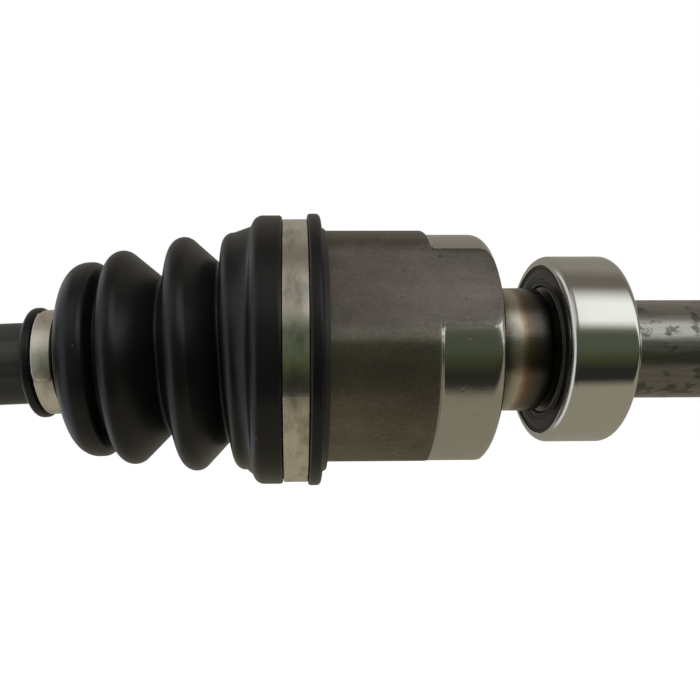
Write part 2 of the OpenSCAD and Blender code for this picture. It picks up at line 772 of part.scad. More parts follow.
bearing_outer_ring();
bearing_seal(-1);  // bearing_seal_left
bearing_seal(1);  // bearing_seal_right
bearing_balls();
bearing_cage();
bearing_inner_ring();
bearing_collar();
tripod_housing();
stub_shaft();
gearbox_circlip();
boot_adapter();
inner_boot();
inner_boot_large_clamp();
inner_boot_small_clamp();
spider();
spider_circlip();
roller_clips();
roller(0);  // roller_1
roller(1);  // roller_2
roller(2);  // roller_3
roller_needles(0);  // roller_1_needles
roller_needles(1);  // roller_2_needles
roller_needles(2);  // roller_3_needles
bar();
inner_race();
inner_race_circlip();
ball_cage();
joint_ball(0);  // ball_1
joint_ball(1);  // ball_2
joint_ball(2);  // ball_3
joint_ball(3);  // ball_4
joint_ball(4);  // ball_5
joint_ball(5);  // ball_6
outer_race();
wheel_stub();
outer_boot();
outer_boot_large_clamp();
outer_boot_small_clamp();
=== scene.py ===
"""Front drive shaft beside its support bearing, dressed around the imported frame.
The frame is in metres, with +X towards the gearbox; sizes below are the real shaft's, in millimetres."""
import math

import bpy
from mathutils import Matrix, Vector


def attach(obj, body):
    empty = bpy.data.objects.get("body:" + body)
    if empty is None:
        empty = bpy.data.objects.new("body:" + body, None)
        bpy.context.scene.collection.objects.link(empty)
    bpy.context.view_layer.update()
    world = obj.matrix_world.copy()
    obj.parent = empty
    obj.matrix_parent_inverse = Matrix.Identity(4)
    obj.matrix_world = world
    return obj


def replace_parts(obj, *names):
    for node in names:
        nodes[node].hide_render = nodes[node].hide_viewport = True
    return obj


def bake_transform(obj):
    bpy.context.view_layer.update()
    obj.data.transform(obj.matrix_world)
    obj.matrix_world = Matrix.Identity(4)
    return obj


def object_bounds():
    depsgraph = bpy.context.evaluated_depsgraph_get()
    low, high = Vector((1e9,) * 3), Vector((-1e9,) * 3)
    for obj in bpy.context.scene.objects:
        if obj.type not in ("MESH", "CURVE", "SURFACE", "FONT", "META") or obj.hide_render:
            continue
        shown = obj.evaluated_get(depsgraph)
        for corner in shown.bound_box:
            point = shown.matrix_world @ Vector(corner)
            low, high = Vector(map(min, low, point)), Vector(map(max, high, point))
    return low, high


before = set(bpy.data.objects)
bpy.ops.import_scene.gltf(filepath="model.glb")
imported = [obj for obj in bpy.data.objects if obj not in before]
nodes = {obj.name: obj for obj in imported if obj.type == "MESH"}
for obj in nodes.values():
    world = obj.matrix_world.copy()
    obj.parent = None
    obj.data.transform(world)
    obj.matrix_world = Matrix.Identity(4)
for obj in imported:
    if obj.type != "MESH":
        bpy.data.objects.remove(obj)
cad_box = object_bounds()

MM = 0.001

# Support bearing and the shaft beside it
BEARING_R, BEARING_X, BEARING_HALF_W, BEARING_ROUND = 31.0, -0.5, 10.5, 2.3
BALL_ROW_R, BALL_GROOVE_R = 24.25, 4.05
SEAL_R, SEAL_INSET, SEAL_T, INNER_LAND_R, OUTER_LAND_R = 28.1, 0.5, 1.2, 21.3, 26.85
SEAT_R, SHOULDER_R, SHOULDER_X, NECK_END = 17.5, 19.0, -10.0, -12.2
COLLAR_RING_R, COLLAR_END = 19.5, 16.2
STUB_R, STUB_END = 16.5, 150.0
GEAR_SPLINE_R, GEAR_SPLINE_X, CIRCLIP_X, CIRCLIP_HALF_W = 14.0, 114.0, 142.0, 0.9
SPLINE_H, SPLINE_TEETH = 1.3, 26

# Tripod housing
REAR_X, MOUTH_X = -31.5, -101.8
FLOOR_X = -38.5
STEP_X, STEP_CONE = -51.6, 1.3
LOBE_R, FLAT_R, TURNED_R = 39.4, 35.6, 38.05
REAR_ROUND, NECK_FILLET = 4.5, 3.0
NECK_R, WELD_X = 20.6, -20.25
TRACK_HALF, TRACK_DEPTH, TRACK_CORNER = 16.3, 31.3, 6.0
CAVITY_R, FLARE_R, FLARE_LEN = 25.5, 30.5, 6.0

# Bar and inner boot
TRIPOD_X = -71.0
DROOP = math.radians(2.05)
BAR_R, BAR_SPAN = 13.5, 400.0
BOOT_ROOT_X, BOOT_MOUTH_X = MOUTH_X - 1.5, MOUTH_X + 17.5
BOOT_BORE_R, GROOVE_R, COLLAR_R, LIP_R = 41.2, 42.3, 44.2, 44.75
GROOVE_X, GROOVE_W = BOOT_MOUTH_X - 4.0, 8.1
BOOT_WALL, BOOT_OVERHANG, COLLAR_ROUND, SHOULDER_DROP = 2.2, 2.7, 3.5, 5.0
SMALL_END, SMALL_GROOVE_R, SMALL_GROOVE_W = -74.4, 16.6, 6.4
SMALL_LIP_R, SMALL_LIP_W = 18.2, 3.4
CRESTS = [(-23.0, 38.6, 4.4), (-43.1, 35.3, 4.2), (-53.3, 32.1, 3.1)]
VALLEYS = [(-12.0, 30.0), (-30.8, 25.9), (-48.7, 27.3)]
VALLEY_ROUND = 1.0

# Ball joint at the wheel, measured along the bar from the joint's centre
BELL_R, BELL_MOUTH, RACE_NECK_R = 43.0, 16.0, 26.0
OUTER_BOOT_LEN, OUTER_GRIP, OUTER_LIP_W, OUTER_PLEATS = 78.0, 13.0, 2.5, 5
OUTER_GROOVE_R = BELL_R + 1.6
OUTER_SMALL_X = BELL_MOUTH + OUTER_BOOT_LEN - SMALL_LIP_W - SMALL_GROOVE_W
FLANGE_X, FLANGE_R, WHEEL_WELD_X = -52.0, 24.0, -45.0
WHEEL_SEAT_R, WHEEL_SPLINE_R, WHEEL_SPLINE_X, THREAD_X, WHEEL_END = 17.0, 14.0, -62.0, -108.0, -132.0
THREAD_R, THREAD_PITCH = 12.0, 1.5

# Bands: thickness, widths and the angles below the near side between which the ends overlap
BAND_T, LARGE_BAND_W, SMALL_BAND_W = 0.7, 7.8, 6.1
LARGE_LAP, SMALL_LAP = (19, 150), (-60, 21)


def boot_tilt():
    """Angle of the inner boot, whose small end follows the drooping bar."""
    small_x = BOOT_ROOT_X + SMALL_END
    return math.atan(math.tan(DROOP) * (small_x - TRIPOD_X) / (small_x - BOOT_ROOT_X))


def leaning(x, angle, along=0.0):
    """Frame whose X axis leans by angle about Y through the place x, starting at a distance along it."""
    start = Matrix.Translation((x * MM, 0, 0)) @ Matrix.Rotation(-angle, 4, "Y")
    return start @ Matrix.Translation((along * MM, 0, 0))


ON_AXIS = Matrix.Identity(4)
ON_BOOT = leaning(BOOT_ROOT_X, boot_tilt())
ON_JOINT = leaning(TRIPOD_X, DROOP, -BAR_SPAN)


# Outlines

def tangent(a, b):
    """Direction of the tangent's touching radius between two circles (x, radius, roundness, side)."""
    dx, dr = a[0] - b[0], a[1] - b[1]
    share = (b[3] * b[2] - a[3] * a[2]) / math.hypot(dx, dr)
    return math.atan2(dr, dx) + math.acos(max(-1.0, min(1.0, share)))


def arc(circle, a0, a1, steps):
    x, r, roundness, side = circle
    turns = [a0 + (a1 - a0) * k / steps for k in range(steps + 1)]
    return [(x + side * roundness * math.cos(a), r + side * roundness * math.sin(a)) for a in turns]


def chain(circles, first, last, steps=10):
    """Smooth outline over crests (side 1) and through valleys (side -1), as points (x, radius)."""
    joints = [tangent(a, b) for a, b in zip(circles, circles[1:])]
    starts, ends = [math.radians(first), *joints], [*joints, math.radians(last)]
    return [p for c, a0, a1 in zip(circles, starts, ends) for p in arc(c, a0, a1, steps)]


def inset(circles, wall):
    return [(x, r, roundness - side * wall, side) for x, r, roundness, side in circles]


def rounded(points, radius, steps=5):
    """Closes the corners of an outline with arcs of the given radius, or a list with one radius for each."""
    radii = radius if isinstance(radius, (list, tuple)) else [radius] * len(points)
    out = []
    for i, (p, size) in enumerate(zip(points, radii)):
        here = Vector(p)
        before, after = Vector(points[i - 1]) - here, Vector(points[(i + 1) % len(points)]) - here
        turn = before.angle(after) if size and before.length and after.length else math.pi
        if turn > math.pi - 0.02:
            out.append(tuple(here))
            continue
        reach = min(size / math.tan(turn / 2), before.length * 0.49, after.length * 0.49)
        start, end = here + before.normalized() * reach, here + after.normalized() * reach
        for k in range(steps + 1):
            t = k / steps
            out.append(tuple(start * (1 - t) ** 2 + here * 2 * t * (1 - t) + end * t ** 2))
    return out


# Meshes

def piece(name, verts, faces, material, body, sharp=35):
    """Mesh from points in metres, smooth except where two faces meet at more than the sharp angle."""
    mesh = bpy.data.meshes.new(name)
    mesh.from_pydata([tuple(v) for v in verts], [], faces)
    mesh.validate()
    mesh.shade_smooth()
    mesh.set_sharp_from_angle(angle=math.radians(sharp))
    mesh.materials.append(material)
    obj = bpy.data.objects.new(name, mesh)
    bpy.context.scene.collection.objects.link(obj)
    if body:
        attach(obj, body)
    return obj


def around(x, r, a, matrix):
    """Point at radius r and angle a about X. Angle 0 is the side towards -Y, and angles grow upwards."""
    return matrix @ Vector((x * MM, -r * MM * math.cos(a), r * MM * math.sin(a)))


def solid(name, outline, material, body, matrix=None, steps=192, radius=None, sharp=35):
    """Closed outline of (x, radius) or (x, radius, frame) turned about X, with shared points on the axis.
    radius(index, x, r, angle) may change the radius of an outline point at each angle."""
    matrix = matrix or ON_AXIS
    verts, faces, places = [], [], []
    for i, (x, r, *own) in enumerate(outline):
        here = own[0] if own else matrix
        turns = [0.0] if r == 0 else [2 * math.pi * k / steps for k in range(steps)]
        places.append([len(verts) + k % len(turns) for k in range(steps)])
        verts += [around(x, radius(i, x, r, a) if radius and r else r, a, here) for a in turns]
    for a, b in zip(places, places[1:] + places[:1]):
        for k in range(steps):
            corners = (a[k], b[k], b[(k + 1) % steps], a[(k + 1) % steps])
            corners = [v for n, v in enumerate(corners) if v != corners[n - 1]]
            if len(corners) > 2:
                faces.append(tuple(corners))
    return piece(name, verts, faces, material, body, sharp)


def spread(outline, step):
    """Adds points along the straight stretches of an open outline."""
    out = []
    for p, q in zip(outline, outline[1:]):
        count = max(1, round(math.dist(p[:2], q[:2]) / step))
        out += [(p[0] + (q[0] - p[0]) * k / count, p[1] + (q[1] - p[1]) * k / count) for k in range(count)]
    return out + [outline[-1]]


# Materials

def add_node(tree, kind, sockets=None, **settings):
    """Node with its settings, and its sockets set to values or linked to other sockets."""
    made = tree.nodes.new(kind)
    for key, value in settings.items():
        setattr(made, key, value)
    for key, value in (sockets or {}).items():
        if isinstance(value, bpy.types.NodeSocket):
            tree.links.new(value, made.inputs[key])
        else:
            made.inputs[key].default_value = value
    return made


class Finish:
    """Principled material with short helpers for its patterns, which lie in the frame's metres."""

    def __init__(self, name, **values):
        self.mat = bpy.data.materials.new(name)
        self.mat.use_nodes = True
        self.tree = self.mat.node_tree
        self.shader = self.tree.nodes["Principled BSDF"]
        for socket, value in values.items():
            self.shader.inputs[socket.replace("_", " ")].default_value = value
        self.place = self.node("ShaderNodeTexCoord").outputs["Object"]

    def node(self, kind, sockets=None, **settings):
        return add_node(self.tree, kind, sockets, **settings)

    def noise(self, per_metre, stretch=(1, 1, 1), detail=4.0, rough=0.55, shift=0.0):
        """Noise from 0 to 1 whose cells shrink as per_metre grows.
        Stretch is its frequency along each axis."""
        scaled = self.node("ShaderNodeVectorMath", {0: self.place, 1: [per_metre * s for s in stretch],
                                                    2: (shift, shift, shift)}, operation="MULTIPLY_ADD")
        return self.node("ShaderNodeTexNoise", {"Vector": scaled.outputs[0], "Scale": 1.0, "Detail": detail,
                                                "Roughness": rough}).outputs["Fac"]

    def step(self, value, low, high):
        """0 below low and 1 above high, smooth between them."""
        return self.node("ShaderNodeMapRange", {"Value": value, "From Min": low, "From Max": high},
                         interpolation_type="SMOOTHSTEP").outputs["Result"]

    def maths(self, operation, a, b=0.0):
        return self.node("ShaderNodeMath", {0: a, 1: b}, operation=operation).outputs[0]

    def axis(self, name):
        return self.node("ShaderNodeSeparateXYZ", {0: self.place}).outputs[name]

    def ramp(self, value, *stops):
        made = self.node("ShaderNodeValToRGB", {"Fac": value})
        set_ramp(made.color_ramp, stops)
        return made.outputs["Color"]

    def mix(self, share, a, b):
        made = self.node("ShaderNodeMix", {0: share}, data_type="RGBA")
        for index, value in ((6, a), (7, b)):
            if isinstance(value, bpy.types.NodeSocket):
                self.tree.links.new(value, made.inputs[index])
            else:
                made.inputs[index].default_value = (*value, 1)
        return made.outputs[2]

    def blend(self, share, a, b):
        """a where share is 0, b where it is 1, for single numbers."""
        return self.node("ShaderNodeMapRange", {"Value": share, "To Min": a, "To Max": b}).outputs["Result"]

    def attribute(self, name):
        return self.node("ShaderNodeAttribute", attribute_name=name).outputs["Fac"]

    def wire(self, socket, value):
        self.tree.links.new(value, self.shader.inputs[socket])

    def bump(self, *layers):
        """Layers of (height, depth in metres), stacked."""
        normal = None
        for height, depth in layers:
            sockets = {"Height": height, "Distance": depth, "Strength": 1.0}
            if normal:
                sockets["Normal"] = normal
            normal = self.node("ShaderNodeBump", sockets).outputs["Normal"]
        self.wire("Normal", normal)


def set_ramp(ramp, stops):
    while len(ramp.elements) < len(stops):
        ramp.elements.new(0.5)
    for element, (place, colour) in zip(ramp.elements, stops):
        element.position = place
        element.color = (*colour, 1)


ALONG = (0.06, 1, 1)
AROUND = (1, 0.04, 0.04)


def rubber(name, colour, roughness, grain):
    made = Finish(name, Metallic=0.0, Specular_IOR_Level=0.36)
    cloud = made.noise(45, detail=3.0)
    fine = made.noise(2600, detail=2.0)
    specks = made.step(made.noise(700, detail=1.0, shift=3.0), 0.79, 0.82)
    worn = made.mix(made.step(cloud, 0.35, 0.7), colour, [c * 1.6 for c in colour])
    made.wire("Base Color", made.mix(specks, worn, (0.06, 0.058, 0.052)))
    made.wire("Roughness", made.blend(made.step(made.noise(28, (1, 0.5, 0.5)), 0.3, 0.7),
                                      roughness - 0.05, roughness + 0.07))
    made.bump((cloud, 0.00012), (fine, grain))
    return made.mat


def satin_paint():
    made = Finish("bar_satin_black", Metallic=0.0)
    streak = made.noise(240, ALONG, detail=3.0)
    made.wire("Base Color", made.mix(made.step(streak, 0.35, 0.7),
                                     (0.012, 0.012, 0.012), (0.021, 0.02, 0.019)))
    made.wire("Roughness", made.blend(made.noise(90), 0.32, 0.46))
    made.bump((made.noise(900, detail=3.0), 0.00002), (streak, 0.00002))
    return made.mat


def ground_steel(name, colour, roughness, lay=AROUND, tarnish=0.0):
    """Bright machined steel. Its fine lines run along the lay, and tarnish darkens it in clouds."""
    made = Finish(name, Metallic=1.0)
    lines = made.noise(5200, lay, detail=3.0, rough=0.7)
    cloud = made.noise(70, (0.5, 1, 1), detail=4.0)
    dull = [c * (1 - tarnish) for c in colour]
    made.wire("Base Color", made.mix(made.step(cloud, 0.45, 0.75), colour, dull))
    made.wire("Roughness", made.maths("ADD", made.blend(lines, -0.03, 0.04),
                                      made.blend(cloud, roughness - 0.02, roughness + 0.06)))
    made.bump((lines, 0.0000016))
    return made.mat


def housing_steel():
    """Forged lobes and flats under a brown oxide, and turned steel where the turned attribute is 1."""
    made = Finish("housing_oxidised", Metallic=1.0)
    turned, flat = made.attribute("turned"), made.attribute("flat")
    forged = made.maths("SUBTRACT", 1.0, turned)
    cloud = made.noise(48, (0.6, 1, 1), detail=5.0, rough=0.6)
    patch = made.noise(150, (0.55, 1, 1), detail=6.0, rough=0.65, shift=5.0)
    grain = made.noise(1300, (0.6, 1, 1), detail=4.0, rough=0.7)
    pits = made.step(made.noise(380, (0.8, 1, 1), detail=3.0, shift=9.0), 0.66, 0.76)
    lobe = made.ramp(cloud, (0.3, (0.15, 0.133, 0.11)), (0.5, (0.2, 0.18, 0.15)),
                     (0.7, (0.25, 0.228, 0.19)))
    face = made.ramp(cloud, (0.32, (0.15, 0.134, 0.124)), (0.5, (0.21, 0.19, 0.175)),
                     (0.7, (0.28, 0.256, 0.235)))
    skin = made.mix(flat, lobe, face)
    skin = made.mix(made.maths("MULTIPLY", made.step(patch, 0.5, 0.75), 0.3), skin, (0.1, 0.085, 0.075))
    skin = made.mix(made.maths("MULTIPLY", made.step(grain, 0.5, 0.68), 0.25), skin, (0.34, 0.32, 0.295))
    skin = made.mix(made.maths("MULTIPLY", made.step(grain, 0.46, 0.34), 0.25), skin, (0.08, 0.07, 0.06))
    lines = made.noise(4600, AROUND, detail=3.0, rough=0.7)
    bright = made.mix(made.step(patch, 0.5, 0.85), (0.52, 0.505, 0.48), (0.4, 0.38, 0.34))
    both = made.mix(turned, skin, bright)
    made.wire("Base Color", made.mix(made.maths("MULTIPLY", pits, made.blend(turned, 0.5, 0.22)),
                                     both, (0.05, 0.042, 0.036)))
    dull = made.blend(patch, 0.34, 0.5)
    shiny = made.blend(lines, 0.13, 0.22)
    made.wire("Roughness", made.maths("ADD", made.maths("MULTIPLY", forged, dull),
                                      made.maths("MULTIPLY", turned, shiny)))
    rough_depth = made.maths("MULTIPLY", forged, grain)
    made.bump((cloud, 0.00012), (rough_depth, 0.00004), (made.maths("SUBTRACT", 1.0, pits), 0.00004),
              (lines, 0.000002))
    return made.mat


def shaft_steel():
    """Ground steel with dark scale, a little rust and painted shade underneath; on the neck, painted shade at
    both ends, a painted highlight and heat tint by the weld.
    """
    made = Finish("shaft_scaled_steel", Metallic=1.0)
    x = made.axis("X")
    streak = made.noise(900, ALONG, detail=4.0, rough=0.65)
    blotch = made.noise(210, (0.8, 1, 1), detail=6.0, rough=0.66, shift=2.3)
    steel = made.mix(made.step(streak, 0.3, 0.7), (0.3, 0.285, 0.27), (0.4, 0.385, 0.37))
    scale = made.step(blotch, 0.51, 0.62)
    # painted shade: the steel is darkened towards the bottom, below the axis
    painted_underside_shade = made.maths("MULTIPLY", made.step(made.axis("Z"), -0.002, -0.01), 0.55)
    steel = made.mix(painted_underside_shade, steel, (0.1, 0.094, 0.088))
    steel = made.mix(made.maths("MULTIPLY", scale, 0.7), steel, (0.06, 0.055, 0.05))
    rust = made.step(made.noise(520, detail=2.0, shift=7.0), 0.73, 0.76)
    steel = made.mix(made.maths("MULTIPLY", rust, 0.5), steel, (0.12, 0.05, 0.022))
    wobble = made.maths("MULTIPLY", made.maths("SUBTRACT", made.noise(60, detail=3.0), 0.5), 0.003)
    along_neck = made.node("ShaderNodeMapRange", {"Value": made.maths("ADD", x, wobble),
                                                  "From Min": -0.0305, "From Max": -0.0115})
    # painted light along the neck: painted shade by the housing's fillet and towards the bearing, a painted
    # highlight in the middle, and brown heat tint by the weld
    neck = made.ramp(along_neck.outputs["Result"], (0.0, (0.09, 0.082, 0.07)),
                     (0.2, (0.16, 0.145, 0.125)), (0.31, (0.44, 0.4, 0.34)),
                     (0.42, (0.55, 0.5, 0.43)), (0.48, (0.38, 0.28, 0.2)), (0.55, (0.2, 0.145, 0.1)),
                     (0.64, (0.12, 0.105, 0.09)), (0.85, (0.07, 0.064, 0.06)), (1.0, (0.045, 0.042, 0.04)))
    on_neck = made.step(x, -0.0098, -0.0102)
    made.wire("Base Color", made.mix(on_neck, steel, neck))
    made.wire("Roughness", made.blend(made.maths("ADD", made.maths("MULTIPLY", scale, 0.5),
                                                 made.maths("MULTIPLY", streak, 0.5)), 0.24, 0.42))
    made.bump((made.maths("SUBTRACT", 1.0, scale), 0.00001), (streak, 0.000008))
    return made.mat


def band_steel(name, roughness, colour):
    made = Finish(name, Metallic=1.0)
    lines = made.noise(2600, (1, 0.05, 0.05), detail=3.0)
    smear = made.noise(190, (1, 0.5, 0.5), detail=6.0, rough=0.65)
    made.wire("Base Color", made.mix(made.step(smear, 0.42, 0.7), colour, [c * 0.6 for c in colour]))
    made.wire("Roughness", made.maths("ADD", made.blend(lines, -0.03, 0.05),
                                      made.blend(smear, roughness - 0.03, roughness + 0.08)))
    made.bump((lines, 0.000003), (smear, 0.00005))
    return made.mat


def forged_steel(name, colour, roughness):
    made = Finish(name, Metallic=1.0)
    cloud = made.noise(80, detail=5.0, rough=0.6)
    grain = made.noise(1100, detail=4.0, rough=0.7)
    made.wire("Base Color", made.mix(cloud, [c * 0.62 for c in colour], [c * 1.3 for c in colour]))
    made.wire("Roughness", made.blend(grain, roughness - 0.07, roughness + 0.1))
    made.bump((cloud, 0.0001), (grain, 0.00004))
    return made.mat


BOOT = rubber("boot_rubber", (0.003, 0.003, 0.0034), 0.31, 0.00001)
SEAL = rubber("seal_rubber", (0.006, 0.006, 0.006), 0.34, 0.000006)
PLASTIC = rubber("adapter_plastic", (0.012, 0.012, 0.0125), 0.36, 0.000004)
PAINT = satin_paint()
BEARING = ground_steel("bearing_steel", (0.62, 0.61, 0.59), 0.08)
COLLAR = ground_steel("collar_steel", (0.74, 0.73, 0.71), 0.16)
HIDDEN = ground_steel("inner_steel", (0.55, 0.54, 0.52), 0.2, tarnish=0.2)
HOUSING = housing_steel()
SHAFT = shaft_steel()
BAND = band_steel("band_bright", 0.14, (0.8, 0.775, 0.72))
BAND_MATT = band_steel("band_matt", 0.34, (0.78, 0.73, 0.64))
RACE = forged_steel("race_steel", (0.17, 0.155, 0.135), 0.36)


# Inner boot

def boot_outlines():
    """Outer and inner outline of the inner boot, from its mouth to its small end."""
    circles = [(-7.0, COLLAR_R - SHOULDER_DROP - COLLAR_ROUND, COLLAR_ROUND, 1)]
    for (valley_x, valley_r), (crest_x, crest_r, roundness) in zip(VALLEYS, CRESTS):
        circles.append((valley_x, valley_r + VALLEY_ROUND, VALLEY_ROUND, -1))
        circles.append((crest_x, crest_r - roundness, roundness, 1))
    last_x, last_r, last_round = CRESTS[-1]
    groove_end = SMALL_END + SMALL_LIP_W
    circles.append((last_x - 1.3, last_r - 2 * last_round, 2 * last_round, 1))
    circles.append((groove_end + SMALL_GROOVE_W, SMALL_GROOVE_R + VALLEY_ROUND, VALLEY_ROUND, -1))
    root, shoulder_r = BOOT_ROOT_X - BOOT_OVERHANG, COLLAR_R - SHOULDER_DROP
    lip = chain([(BOOT_MOUTH_X - 1.4, LIP_R - 1.4, 1.4, 1), (GROOVE_X + 0.8, LIP_R - 0.8, 0.8, 1)], 0, 180, 8)
    groove = [(GROOVE_X, GROOVE_R + 0.3), (GROOVE_X - 0.3, GROOVE_R), (GROOVE_X - GROOVE_W + 0.3, GROOVE_R),
              (GROOVE_X - GROOVE_W, GROOVE_R + 0.3)]
    collar = chain([(GROOVE_X - GROOVE_W - 1, COLLAR_R - 1, 1, 1),
                    (root + COLLAR_ROUND, COLLAR_R - COLLAR_ROUND, COLLAR_ROUND, 1)], 0, 158, 12)
    corner = [(root - 0.3, shoulder_r + 1.7), (root - 0.9, shoulder_r + 1.35)]
    small_lip = chain([(groove_end - 1.2, SMALL_LIP_R - 1.2, 1.2, 1),
                       (SMALL_END + 1.2, SMALL_LIP_R - 1.2, 1.2, 1)], 0, 180, 8)
    bellows = chain(circles, 84, 90, 18) + [(groove_end, SMALL_GROOVE_R)] + small_lip
    outer = lip + groove + collar + corner + [(x, r, ON_BOOT) for x, r in bellows]
    lining = chain(inset(circles, BOOT_WALL), 90, 180, 18)
    lining += [(groove_end + SMALL_GROOVE_W - 1, BAR_R + 0.05), (SMALL_END, BAR_R + 0.05)]
    inner = [(BOOT_MOUTH_X, BOOT_BORE_R), (MOUTH_X, BOOT_BORE_R), (MOUTH_X, shoulder_r - BOOT_WALL)]
    return outer, inner + [(x, r, ON_BOOT) for x, r in lining]


def cut_index(outline, x):
    """Index of the bellows point nearest to a place along the boot."""
    bellows = [i for i, point in enumerate(outline) if len(point) == 3]
    return min(bellows, key=lambda i: abs(outline[i][0] - x))


def build_inner_boot():
    """The boot in three pieces, cut at its first crest and its second valley: the collar, the first pleat and
    the other pleats.
    """
    outer, inner = boot_outlines()
    first, second = CRESTS[0][0], VALLEYS[1][0]
    outer_cuts, inner_cuts = ([0, cut_index(line, first), cut_index(line, second), len(line) - 1]
                              for line in (outer, inner))
    made = []
    for k, name in enumerate(("inner_boot_collar", "inner_boot_first_pleat", "inner_boot_pleats")):
        loop = outer[outer_cuts[k]:outer_cuts[k + 1] + 1] + inner[inner_cuts[k]:inner_cuts[k + 1] + 1][::-1]
        obj = solid(name, loop, BOOT, None, steps=216, sharp=50)
        made.append(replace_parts(obj, "inner_boot"))

    def place(x):
        return ON_BOOT @ Vector((x * MM, 0, 0))

    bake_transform(made[0])
    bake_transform(made[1])
    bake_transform(made[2])


# Outer boot

def build_outer_boot():
    pitch = (OUTER_BOOT_LEN - 26) / OUTER_PLEATS
    crests, valleys = (BELL_R - 4.5, BAR_R + 9), (BELL_R - 10, BAR_R + 5.5)
    circles = []
    for i in range(OUTER_PLEATS):
        share, x = i / OUTER_PLEATS, BELL_MOUTH + 11 + pitch * i
        circles.append((-x, crests[0] + (crests[1] - crests[0]) * share, 2.8, 1))
        circles.append((-x - pitch / 2, valleys[0] + (valleys[1] - valleys[0]) * share, VALLEY_ROUND, -1))
    end, grip = BELL_MOUTH + OUTER_BOOT_LEN, BELL_MOUTH - OUTER_GRIP
    groove = grip + OUTER_LIP_W
    pleats = [(-x, r) for x, r in chain(circles, 90, 90, 10)]
    lining = [(-x, r) for x, r in chain(inset(circles, BOOT_WALL), 90, 90, 10)]
    lip_r, mouth_r = OUTER_GROOVE_R + 1.5, BELL_R - 6
    head = rounded([(grip, BELL_R), (grip, lip_r), (groove, lip_r), (groove, OUTER_GROOVE_R),
                    (groove + GROOVE_W, OUTER_GROOVE_R), (groove + GROOVE_W, OUTER_GROOVE_R + 1),
                    (BELL_MOUTH + 3.2, OUTER_GROOVE_R + 1), (BELL_MOUTH + 4.6, mouth_r)],
                   [0, 0.9, 0.6, 0.2, 0.2, 0.4, 1.6, 0])
    tail = rounded([(OUTER_SMALL_X - 4, SMALL_GROOVE_R), (end - SMALL_LIP_W, SMALL_GROOVE_R),
                    (end - SMALL_LIP_W, SMALL_LIP_R), (end, SMALL_LIP_R), (end, BAR_R + 0.05)],
                   [0, 0.2, 1.1, 1.1, 0])
    back = [(OUTER_SMALL_X - 2, BAR_R + 0.05), *lining[::-1], (BELL_MOUTH + 4, mouth_r - BOOT_WALL),
            (BELL_MOUTH, BELL_R - 4.5), (BELL_MOUTH, BELL_R)]
    obj = solid("outer_boot_pleats", head + pleats + tail + back, BOOT, None, ON_JOINT,
                steps=180, sharp=50)
    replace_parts(obj, "outer_boot")
    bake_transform(obj)


# Bands

def band_section(r, width, thickness):
    """Section of a rolled strip with rounded edges, as (x, radius)."""
    half = width / 2
    return rounded([(-half, r), (half, r), (half, r + thickness), (-half, r + thickness)],
                   [0.1, 0.1, 0.3, 0.3], 4)


def strip(name, section, start, end, matrix, material, body, tail=0.0, steps=90):
    """Strip swept from one angle to another, rounded off over its last tail degrees, with closed ends."""
    verts, faces, count = [], [], len(section)
    for k in range(steps + 1):
        left = (1 - k / steps) * abs(end - start)
        round_off = math.sqrt(1 - (1 - left / tail) ** 2) if left < tail else 1.0
        a = math.radians(start + (end - start) * k / steps)
        verts += [around(x * (0.35 + 0.65 * round_off), r, a, matrix) for x, r in section]
    for k in range(steps):
        for i in range(count):
            j = (i + 1) % count
            faces.append((k * count + i, k * count + j, (k + 1) * count + j, (k + 1) * count + i))
    faces += [tuple(range(count))[::-1], tuple(range(steps * count, (steps + 1) * count))]
    return piece(name, verts, faces, material, body)


def build_band(node, r, width, lap, matrix, body, hooks):
    """Band, the second layer where its ends overlap, and the pressed hooks that hold the layers together."""
    ring = solid(node + "_ring", band_section(r, width, BAND_T), BAND, body, matrix, 216)
    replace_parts(ring, node)
    strip(node + "_lap", band_section(r + BAND_T, width - 0.2, BAND_T * 0.9), -lap[0], -lap[1], matrix,
          BAND_MATT, body, tail=9)
    half, top = width * 0.21, r + BAND_T * 1.85
    section = rounded([(-half, top), (half, top), (half - 0.3, top + 0.55), (-half + 0.3, top + 0.55)],
                      0.25, 3)
    length = math.degrees(3.5 / r)
    for k, angle in enumerate(hooks):
        strip(f"{node}_hook_{k + 1}", section, angle, angle + length, matrix, BAND, body,
              tail=length * 0.6, steps=10)


def build_bands():
    large_hooks, small_hooks = (-118, -132), (-140,)
    inner_large, inner_small = GROOVE_X - GROOVE_W / 2, SMALL_END + SMALL_LIP_W + SMALL_GROOVE_W / 2
    outer_large = BELL_MOUTH - OUTER_GRIP + OUTER_LIP_W + GROOVE_W / 2
    outer_small = OUTER_SMALL_X + SMALL_GROOVE_W / 2
    for node, at, r, matrix, body in (
            ("inner_boot_large_clamp", inner_large, GROOVE_R, ON_AXIS, "inner_shaft"),
            ("inner_boot_small_clamp", inner_small, SMALL_GROOVE_R, ON_BOOT, "bar"),
            ("outer_boot_large_clamp", outer_large, OUTER_GROOVE_R, ON_JOINT, "outer_race"),
            ("outer_boot_small_clamp", outer_small, SMALL_GROOVE_R, ON_JOINT, "bar")):
        large = "large" in node
        build_band(node, r, LARGE_BAND_W if large else SMALL_BAND_W, LARGE_LAP if large else SMALL_LAP,
                   matrix @ Matrix.Translation((at * MM, 0, 0)), body, large_hooks if large else small_hooks)


# Tripod housing

def soft_min(a, b, softness):
    """Lower of two numbers, with a rounded change from one to the other."""
    h = max(0.0, min(1.0, 0.5 + 0.5 * (b - a) / softness))
    return b + (a - b) * h - softness * h * (1 - h)


def flat_radius(a):
    """Radius of the three flats at an angle."""
    leans = [math.cos(a - math.radians(30 + 120 * k)) for k in range(3)]
    return FLAT_R / max(leans)


def outside_radius(x, r, a):
    """Radius of the housing's outside: round, with three flats cut between the lobes."""
    if r < FLAT_R - 4:
        return r
    return soft_min(r, flat_radius(a), 0.45 if x > STEP_X + 1 else 1.6)


